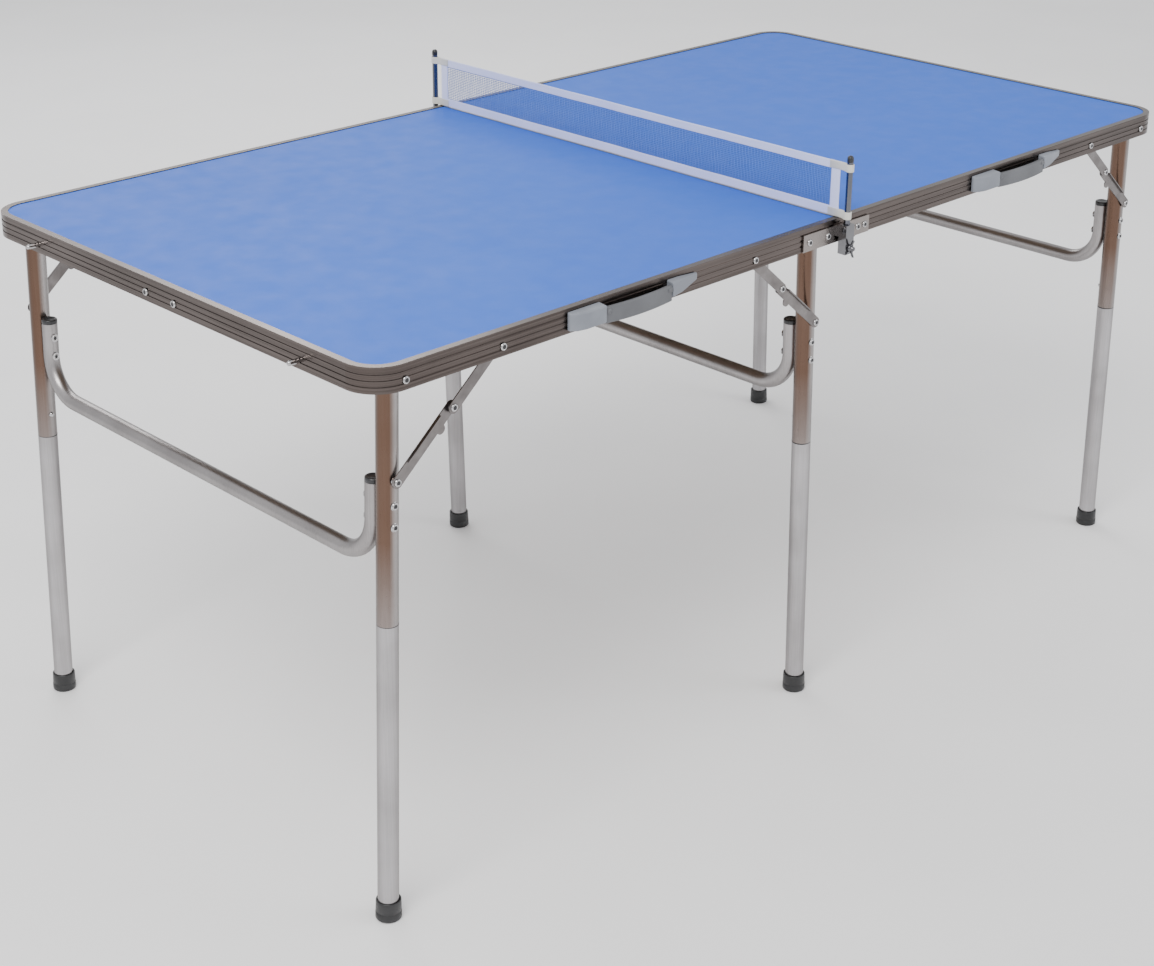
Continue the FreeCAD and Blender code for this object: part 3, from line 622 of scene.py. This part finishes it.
def bar_plugs():
    """Plastic plugs with a domed, dished top in the ends of the bent bars."""
    shape = (
        (0, 0.9), (0.60, 0.75), (0.72, 0.1), (0.88, 0.25), (0.97, 0.9), (1, 1.9),
        (1, 5.6), (0.97, 6.0), (0.85, 6.0), (0.85, 11.6), (0, 11.6),
    )
    for pair in PAIRS:
        high = box(f"cross_bar_caps_{pair}")[1]
        down = leg_direction(pair)
        pivot = place(f"leg_fold_{pair}")
        y = high.y - PLUG_R
        top_drop = (pivot.z - high.z) / -down.z + PLUG_R * abs(down.x)
        bm = bmesh.new()
        for _, sign in SIDES:
            top = Vector((pivot.x, sign * y, pivot.z)) + down * top_drop
            lathe(bm, turned(PLUG_R, shape), top, down, sides=48)
        made = piece(f"bar_plug_{pair}", bm, CAP, f"legs_{pair}")
        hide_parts(f"cross_bar_caps_{pair}")


foot_caps()
bar_plugs()


def joint_rings():
    """The dark shadow line where each lower tube meets the upper one."""
    shape = ((0.90, -0.6), (0.985, -0.6), (1.004, -0.2), (1.004, 0.7), (0.985, 1.2), (0.90, 1.2))
    for pair in PAIRS:
        down = leg_direction(pair)
        pivot = place(f"leg_fold_{pair}")
        for side, sign in SIDES:
            low = box(f"upper_leg_{pair}_{side}")[0]
            end = (pivot.z - low.z) / -down.z - LEG_R * abs(down.x)
            at = Vector((pivot.x, sign * LEG_Y, pivot.z)) + down * end
            bm = bmesh.new()
            lathe(bm, turned(LEG_R, shape), at, down, sides=48)
            piece(f"joint_ring_{pair}_{side}", bm, SHADE_BLACK, f"legs_{pair}")


joint_rings()


# ---------------------------------------------------------------- carrying handles


# the brackets begin, and the grip ends, this far from the handle's middle
BRACKET_INNER = 55 * MM
GRIP_HALF = 54 * MM
GRIP_BOW = 4.0 * MM
GRIP_FACE = 20 * MM
GRIP_THICK = 2.6 * MM
GRIP_LIP = 2.4 * MM
GRIP_SAG = 1.6 * MM
GRIP_STEPS = 28
RIB_COUNT = 11
RIB_REACH = 0.80
RIB_HALF = 0.8 * MM


def handle(side):
    """A bowed channel grip, ribbed inside, between a block bracket and a wedge bracket."""
    low, high = box(f"handle_brackets_{side}")
    grip_low = box(f"handle_grip_{side}")[0]
    pin = place(f"handle_swing_{side}")
    centre = (low.x + high.x) / 2
    rail = -SIDE_Y
    outer = low.y

    brackets = bmesh.new()
    length = high.x - centre - BRACKET_INNER
    # a station is its share of the length, its outer face, and its bottom's lift and top's drop
    block_end = [
        (0, outer, 0, 0),
        (0.62, outer, 0, 0),
        (0.85, outer + 2.5 * MM, 0, 0),
        (1, rail - 4.5 * MM, 0, 0),
    ]
    wedge_end = [
        (0, outer + 1.5 * MM, 2 * MM, 1 * MM),
        (0.35, outer + 3 * MM, 4 * MM, 1 * MM),
        (1, rail - 3 * MM, 10 * MM, 3 * MM),
    ]
    for sign, stations in ((-1, block_end), (1, wedge_end)):
        rings = []
        for share, y, lift, drop in stations:
            x = centre + sign * (BRACKET_INNER + length * share)
            bottom, top = low.z + lift, high.z - drop
            slope = min(1.5 * MM, (rail - y) / 3)
            corners = ((y, bottom), (y, top - slope), (rail, top), (rail, bottom))
            rings.append([brackets.verts.new((x, a, b)) for a, b in corners])
        skin(brackets, rings)
    made = piece(
        f"handle_bracket_{side}", brackets, BRACKET, f"table_{side}",
        bevel=1.4 * MM, bevel_parts=4,
    )
    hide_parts(f"handle_brackets_{side}")

    grip = bmesh.new()
    face_low, face_high = grip_low.z, grip_low.z + GRIP_FACE

    def bowed(x):
        """Where the grip's outer face is at x."""
        share = (x - centre) / GRIP_HALF
        return pin.y - 2.0 * MM - GRIP_BOW * (1 - share * share)

    rings = []
    for k in range(GRIP_STEPS + 1):
        x = centre + GRIP_HALF * (2 * k / GRIP_STEPS - 1)
        outside = bowed(x)
        inside = outside + GRIP_THICK
        lip = inside + GRIP_LIP
        sag = 0.4 * GRIP_SAG * (1 - ((x - centre) / GRIP_HALF) ** 2)
        section = [
            (outside, face_low + 1.0 * MM - sag),
            (outside, face_high),
            (lip, face_high),
            (lip, face_high - 1.6 * MM),
            (inside, face_high - 2.4 * MM),
            (inside, face_low + 3.4 * MM - sag),
            (lip, face_low + 2.6 * MM - sag),
            (lip, face_low + 1.0 * MM - sag),
        ]
        rings.append([grip.verts.new((x, a, b)) for a, b in section])
    skin(grip, rings)
    made = piece(f"handle_bow_{side}", grip, GRIP, f"handle_{side}", bevel=0.6 * MM)
    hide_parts(f"handle_grip_{side}")

    ribs = bmesh.new()
    for k in range(RIB_COUNT):
        x = centre + GRIP_HALF * RIB_REACH * (2 * k / (RIB_COUNT - 1) - 1)
        y = bowed(x) + GRIP_THICK
        block(
            ribs,
            (x - RIB_HALF, y - 0.3 * MM, face_low + 3 * MM),
            (x + RIB_HALF, y + 2.2 * MM, face_high - 1.8 * MM),
        )
    piece(f"handle_ribs_{side}", ribs, GRIP, f"handle_{side}", bevel=0.4 * MM)

    ends = bmesh.new()
    # radii and heights in millimetres: a boss, then the thinner pin that enters the bracket
    hub_shape = (
        (0, 0), (3.4, 0), (4.0, 0.5), (4.0, 7.4), (3.4, 8.0), (2.4, 8.0), (2.4, 13.6), (0, 13.8),
    )
    for sign in (-1, 1):
        hub = Vector((centre + sign * (GRIP_HALF - 8 * MM), pin.y, pin.z))
        lathe(ends, turned(MM, hub_shape), hub, Vector((sign, 0, 0)), sides=32)
    piece(f"handle_hubs_{side}", ends, GRIP, f"handle_{side}")


for side_name in ("left", "right"):
    handle(side_name)


# ---------------------------------------------------------------- net


net_low, net_high = box("net_cloth")
post_low, post_high = box("net_posts")
NET_X = (post_low.x + post_high.x) / 2
POST_R = (post_high.x - post_low.x) / 2
POST_Y = post_high.y - POST_R
NET_HALF = 378 * MM
HEM_TOP = 11 * MM
HEM_BOTTOM = 12 * MM
HEM_SIDE = 14 * MM
HEM_THICK = 1.3 * MM
# how far the mesh reaches under the hems
HEM_OVERLAP = 2 * MM
STRAND = 0.80 * MM
STRAND_BOW = 0.3 * MM
PITCH = 2.5 * MM
# how many lengths a strand or a tape is made of
COLUMN_STEPS = 12
ROW_STEPS = 90
HEM_STEPS = 120
ALONG = Vector((1, 0, 0))
UP = Vector((0, 0, 1))


def sway(y, z):
    """How far the taut cloth leaves its plane, in metres."""
    edge = max(0.0, 1 - (y / NET_HALF) ** 2)
    return edge * (0.45 * MM * math.sin(y * 21 + 0.7) + 0.25 * MM * math.sin(y * 57 + z * 90))


def strand(bm, points):
    """A thin thread of the mesh."""
    sweep(bm, points, oval(STRAND, STRAND * 0.8, sides=4), ALONG)


def net_threads(bm):
    """The open knitted net, with every upright strand bowed a little."""
    bottom = net_low.z + HEM_BOTTOM - HEM_OVERLAP
    top = net_high.z - HEM_TOP + HEM_OVERLAP
    reach = NET_HALF - HEM_SIDE + HEM_OVERLAP
    for k, y in enumerate(spread(-reach, reach, int(2 * reach / PITCH))):
        bow = STRAND_BOW if k % 2 else -STRAND_BOW
        points = []
        for z in spread(bottom, top, COLUMN_STEPS):
            bowed = y + bow * math.sin(math.pi * (z - bottom) / PITCH)
            points.append(Vector((NET_X + sway(y, z), bowed, z)))
        strand(bm, points)
    for z in spread(bottom, top, int((top - bottom) / PITCH)):
        strand(bm, [Vector((NET_X + sway(y, z), y, z)) for y in spread(-reach, reach, ROW_STEPS)])


def tape(bm, points, width, up):
    """A folded tape with soft edges, carried along points."""
    sweep(bm, points, oval(HEM_THICK, width, sides=16, power=5.0), up)


def net_hems(bm):
    """The folded tapes sewn round the net's four edges."""
    top, bottom = net_high.z - HEM_TOP / 2, net_low.z + HEM_BOTTOM / 2
    for z, width in ((top, HEM_TOP), (bottom, HEM_BOTTOM)):
        places = spread(-NET_HALF, NET_HALF, HEM_STEPS)
        tape(bm, [Vector((NET_X + sway(y, z), y, z)) for y in places], width, UP)
    for _, sign in SIDES:
        y = sign * (NET_HALF - HEM_SIDE / 2)
        heights = spread(net_low.z + 1 * MM, net_high.z - 1 * MM, COLUMN_STEPS)
        tape(bm, [Vector((NET_X + sway(y, z), y, z)) for z in heights], HEM_SIDE, Vector((0, 1, 0)))


def net_cloth():
    """The whole cloth as one piece: the open mesh and the hems round it."""
    bm = bmesh.new()
    net_threads(bm)
    threads = len(bm.faces)
    net_hems(bm)
    for index, face in enumerate(bm.faces):
        face.material_index = 1 if index >= threads else 0
    made = piece("net_weave", bm, MESH, "net")
    made.data.materials.append(HEM)
    return made


def net_stitches():
    """Two rows of short stitches along each hem, on both faces."""
    bm = bmesh.new()
    step = 5 * MM
    margin = 3 * MM
    thread = oval(0.42 * MM, 0.42 * MM, sides=5)
    face = HEM_THICK / 2 + 0.06 * MM
    rows = (
        net_high.z - 1.6 * MM,
        net_high.z - HEM_TOP + 1.4 * MM,
        net_low.z + 1.6 * MM,
        net_low.z + HEM_BOTTOM - 1.4 * MM,
    )
    count = int(2 * (NET_HALF - margin) / step)
    for z in rows:
        for k in range(count):
            y = -NET_HALF + margin + step * (k + 0.5)
            for out in (-1, 1):
                x = NET_X + sway(y, z) + out * face
                # out of the tape, over it and back in
                sunk, raised = x - out * 0.10 * MM, x + out * 0.12 * MM
                points = [
                    Vector((sunk, y - 1.5 * MM, z)),
                    Vector((raised, y - 0.8 * MM, z)),
                    Vector((raised, y + 0.8 * MM, z)),
                    Vector((sunk, y + 1.5 * MM, z)),
                ]
                sweep(bm, points, thread, UP)
    return piece("net_stitches", bm, THREAD, "net")


def net_loops():
    """Webbing loops that go round each post at the top and the bottom of the net."""
    bm = bmesh.new()
    height = 10 * MM
    radius = POST_R + 0.75 * MM
    apart = Vector((1.0 * MM, 0, 0))
    bend_steps = 18
    for _, sign in SIDES:
        for z in (net_high.z - height / 2, net_low.z + height / 2):
            tail = Vector((NET_X, sign * (NET_HALF - 16 * MM), z))
            start = Vector((NET_X, sign * (POST_Y - 9 * MM), z))
            points = [tail + apart, start + apart]
            for degrees in spread(-90, 214, bend_steps):
                angle = math.radians(degrees)
                y = sign * (POST_Y + radius * math.sin(angle))
                points.append(Vector((NET_X + radius * math.cos(angle), y, z)))
            points += [start - apart, tail - apart]
            sweep(bm, points, oval(0.9 * MM, height, sides=12, power=5.0), UP)
    return piece("net_loops", bm, LOOP, "net")


def build_net():
    """The net's cloth, held taut between the posts, with its stitches and loops."""
    weave = net_cloth()
    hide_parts("net_cloth")
    net_stitches()
    net_loops()


build_net()


def post_tips():
    """Dark domed tips pressed on the tops of the posts."""
    bm = bmesh.new()
    for _, sign in SIDES:
        top = Vector((NET_X, sign * POST_Y, post_high.z))
        profile = [
            (0, 0),
            (POST_R * 0.5, 0.35 * MM),
            (POST_R * 0.86, 1.5 * MM),
            (POST_R + 0.15 * MM, 3.4 * MM),
            (POST_R + 0.25 * MM, 8.4 * MM),
            (POST_R * 0.95, 8.8 * MM),
        ]
        lathe(bm, profile, top, Vector((0, 0, -1)), sides=36)
    piece("net_post_tips", bm, CAP, "net")


post_tips()


WING_STEPS = 8


def wing_screws():
    """Wing screws with a stepped hub and two wings that lean out from the clamp."""
    hub = (
        (2.4, -3.4), (2.4, 0), (4.9, 0), (4.9, 2.2), (4.4, 2.9),
        (3.2, 3.2), (3.0, 6.4), (2.2, 7.4), (0, 7.6),
    )
    clamp = box("post_clamps")[1].y
    for side, sign in SIDES:
        low, high = box(f"wing_screw_{side}")
        out = Vector((0, sign, 0))
        seat = Vector(((low.x + high.x) / 2, sign * (clamp + 0.1 * MM), (low.z + high.z) / 2))
        bm = bmesh.new()
        lathe(bm, turned(MM, hub), seat, out, sides=32)
        for way in (-1, 1):
            rings = []
            for k in range(WING_STEPS + 1):
                t = k / WING_STEPS
                rise = Vector((0, 0, way * (2.0 + 9.0 * t) * MM))
                point = seat + out * ((2.0 + 4.0 * t) * MM) + rise
                # thicker at the root and narrower at the tip
                thick = 1.3 * MM if k else 1.8 * MM
                width = 4.0 + 4.2 * math.sin(math.pi * min(1, 0.25 + 0.6 * t))
                width *= MM if k < WING_STEPS else 0.55 * MM
                section = oval(thick * 1.6, min(width, 4.0 * MM), sides=10)
                rings.append([bm.verts.new(point + ALONG * a + out * b) for a, b in section])
            skin(bm, rings)
        made = piece(f"wing_screw_detail_{side}", bm, SCREW, f"wing_screw_{side}")
        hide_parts(f"wing_screw_{side}")


wing_screws()


# ---------------------------------------------------------------- softened edges of CAD nodes

SOFT_ANGLE = math.radians(50)
SOFT_EDGES = {
    "hinge_plates": 0.35 * MM,
    "brace": 0.25 * MM,
    "latch_near": 0.4 * MM,
    "latch_far": 0.4 * MM,
    "post_clamps": 0.7 * MM,
    "splice_plate": 0.2 * MM,
    "centre_trim": 0.25 * MM,
}
for node_name, node_object in frame["nodes"].items():
    widths = (value for start, value in SOFT_EDGES.items() if node_name.startswith(start))
    width = next(widths, 0)
    if width:
        edge = node_object.modifiers.new("edges", "BEVEL")
        edge.width = width
        edge.segments = 2
        edge.limit_method = "ANGLE"
        edge.angle_limit = SOFT_ANGLE


# ---------------------------------------------------------------- floor, light and camera


FLOOR_HALF = 14.0
# just under the feet, so that the two don't flicker
FLOOR_Z = -0.0002


def stage_floor():
    """A plain pale floor."""
    bm = bmesh.new()
    corners = ((-1, -1), (1, -1), (1, 1), (-1, 1))
    bm.faces.new([bm.verts.new((x * FLOOR_HALF, y * FLOOR_HALF, FLOOR_Z)) for x, y in corners])
    mesh = bpy.data.meshes.new("floor")
    bm.to_mesh(mesh)
    bm.free()
    floor = bpy.data.objects.new("floor", mesh)
    bpy.context.scene.collection.objects.link(floor)
    n = Nodes("floor_pale", roughness=0.75)
    n.color(n.ramp(n.noise(3, 3), [(0.3, (0.90, 0.90, 0.905)), (0.7, (0.93, 0.93, 0.935))]))
    mesh.materials.append(n.material)


def area_light(name, where, target, size, power, color=(1, 1, 1)):
    """A rectangular lamp at a place, turned to a target. power is in watts."""
    data = bpy.data.lights.new(name, "AREA")
    data.shape = "RECTANGLE"
    data.size, data.size_y = size
    data.energy = power
    data.color = color
    lamp = bpy.data.objects.new(name, data)
    lamp.location = where
    lamp.rotation_euler = (Vector(target) - Vector(where)).to_track_quat("-Z", "Y").to_euler()
    bpy.context.scene.collection.objects.link(lamp)


def studio():
    """Even sky light with a soft key, a cooler fill and a back light."""
    world = bpy.data.worlds.new("studio")
    bpy.context.scene.world = world
    world.use_nodes = True
    background = world.node_tree.nodes["Background"]
    background.inputs["Color"].default_value = (0.95, 0.955, 0.97, 1)
    background.inputs["Strength"].default_value = 1.05
    middle = (0, 0, 0.5)
    area_light("key", (-2.6, -1.2, 3.6), middle, (2.0, 2.0), 130, (1.0, 0.985, 0.96))
    area_light("fill", (2.4, -3.4, 2.2), middle, (2.0, 1.4), 45, (0.96, 0.98, 1.0))
    area_light("back", (1.2, 3.4, 2.8), middle, (2.6, 1.2), 60)


# metres, then yaw, pitch and roll in radians, then the lens in widths of one photograph pixel
CAMERA_PLACE = (-1.9343, -1.8592, 1.4584)
CAMERA_ANGLES = (0.7806, 0.3733, 0.0077)
CAMERA_LENS_PX = 2009.0
CAMERA_SHIFT = -0.12
IMAGE_WIDTH = 1154


def camera():
    """A long lens above the near left corner, looking along the table's diagonal."""
    data = bpy.data.cameras.new("camera")
    made = bpy.data.objects.new("camera", data)
    bpy.context.scene.collection.objects.link(made)
    bpy.context.scene.camera = made
    data.sensor_width = 36
    data.lens = CAMERA_LENS_PX * data.sensor_width / IMAGE_WIDTH
    data.shift_y = CAMERA_SHIFT
    data.clip_end = 100
    yaw, pitch, roll = CAMERA_ANGLES
    ahead = Vector((
        math.sin(yaw) * math.cos(pitch),
        math.cos(yaw) * math.cos(pitch),
        -math.sin(pitch),
    ))
    right = Vector((math.cos(yaw), -math.sin(yaw), 0))
    over = right.cross(ahead)
    turned_right = right * math.cos(roll) + over * math.sin(roll)
    turned_over = over * math.cos(roll) - right * math.sin(roll)
    basis = Matrix((turned_right, turned_over, -ahead)).transposed()
    made.matrix_world = Matrix.Translation(Vector(CAMERA_PLACE)) @ basis.to_4x4()


stage_floor()
studio()
camera()
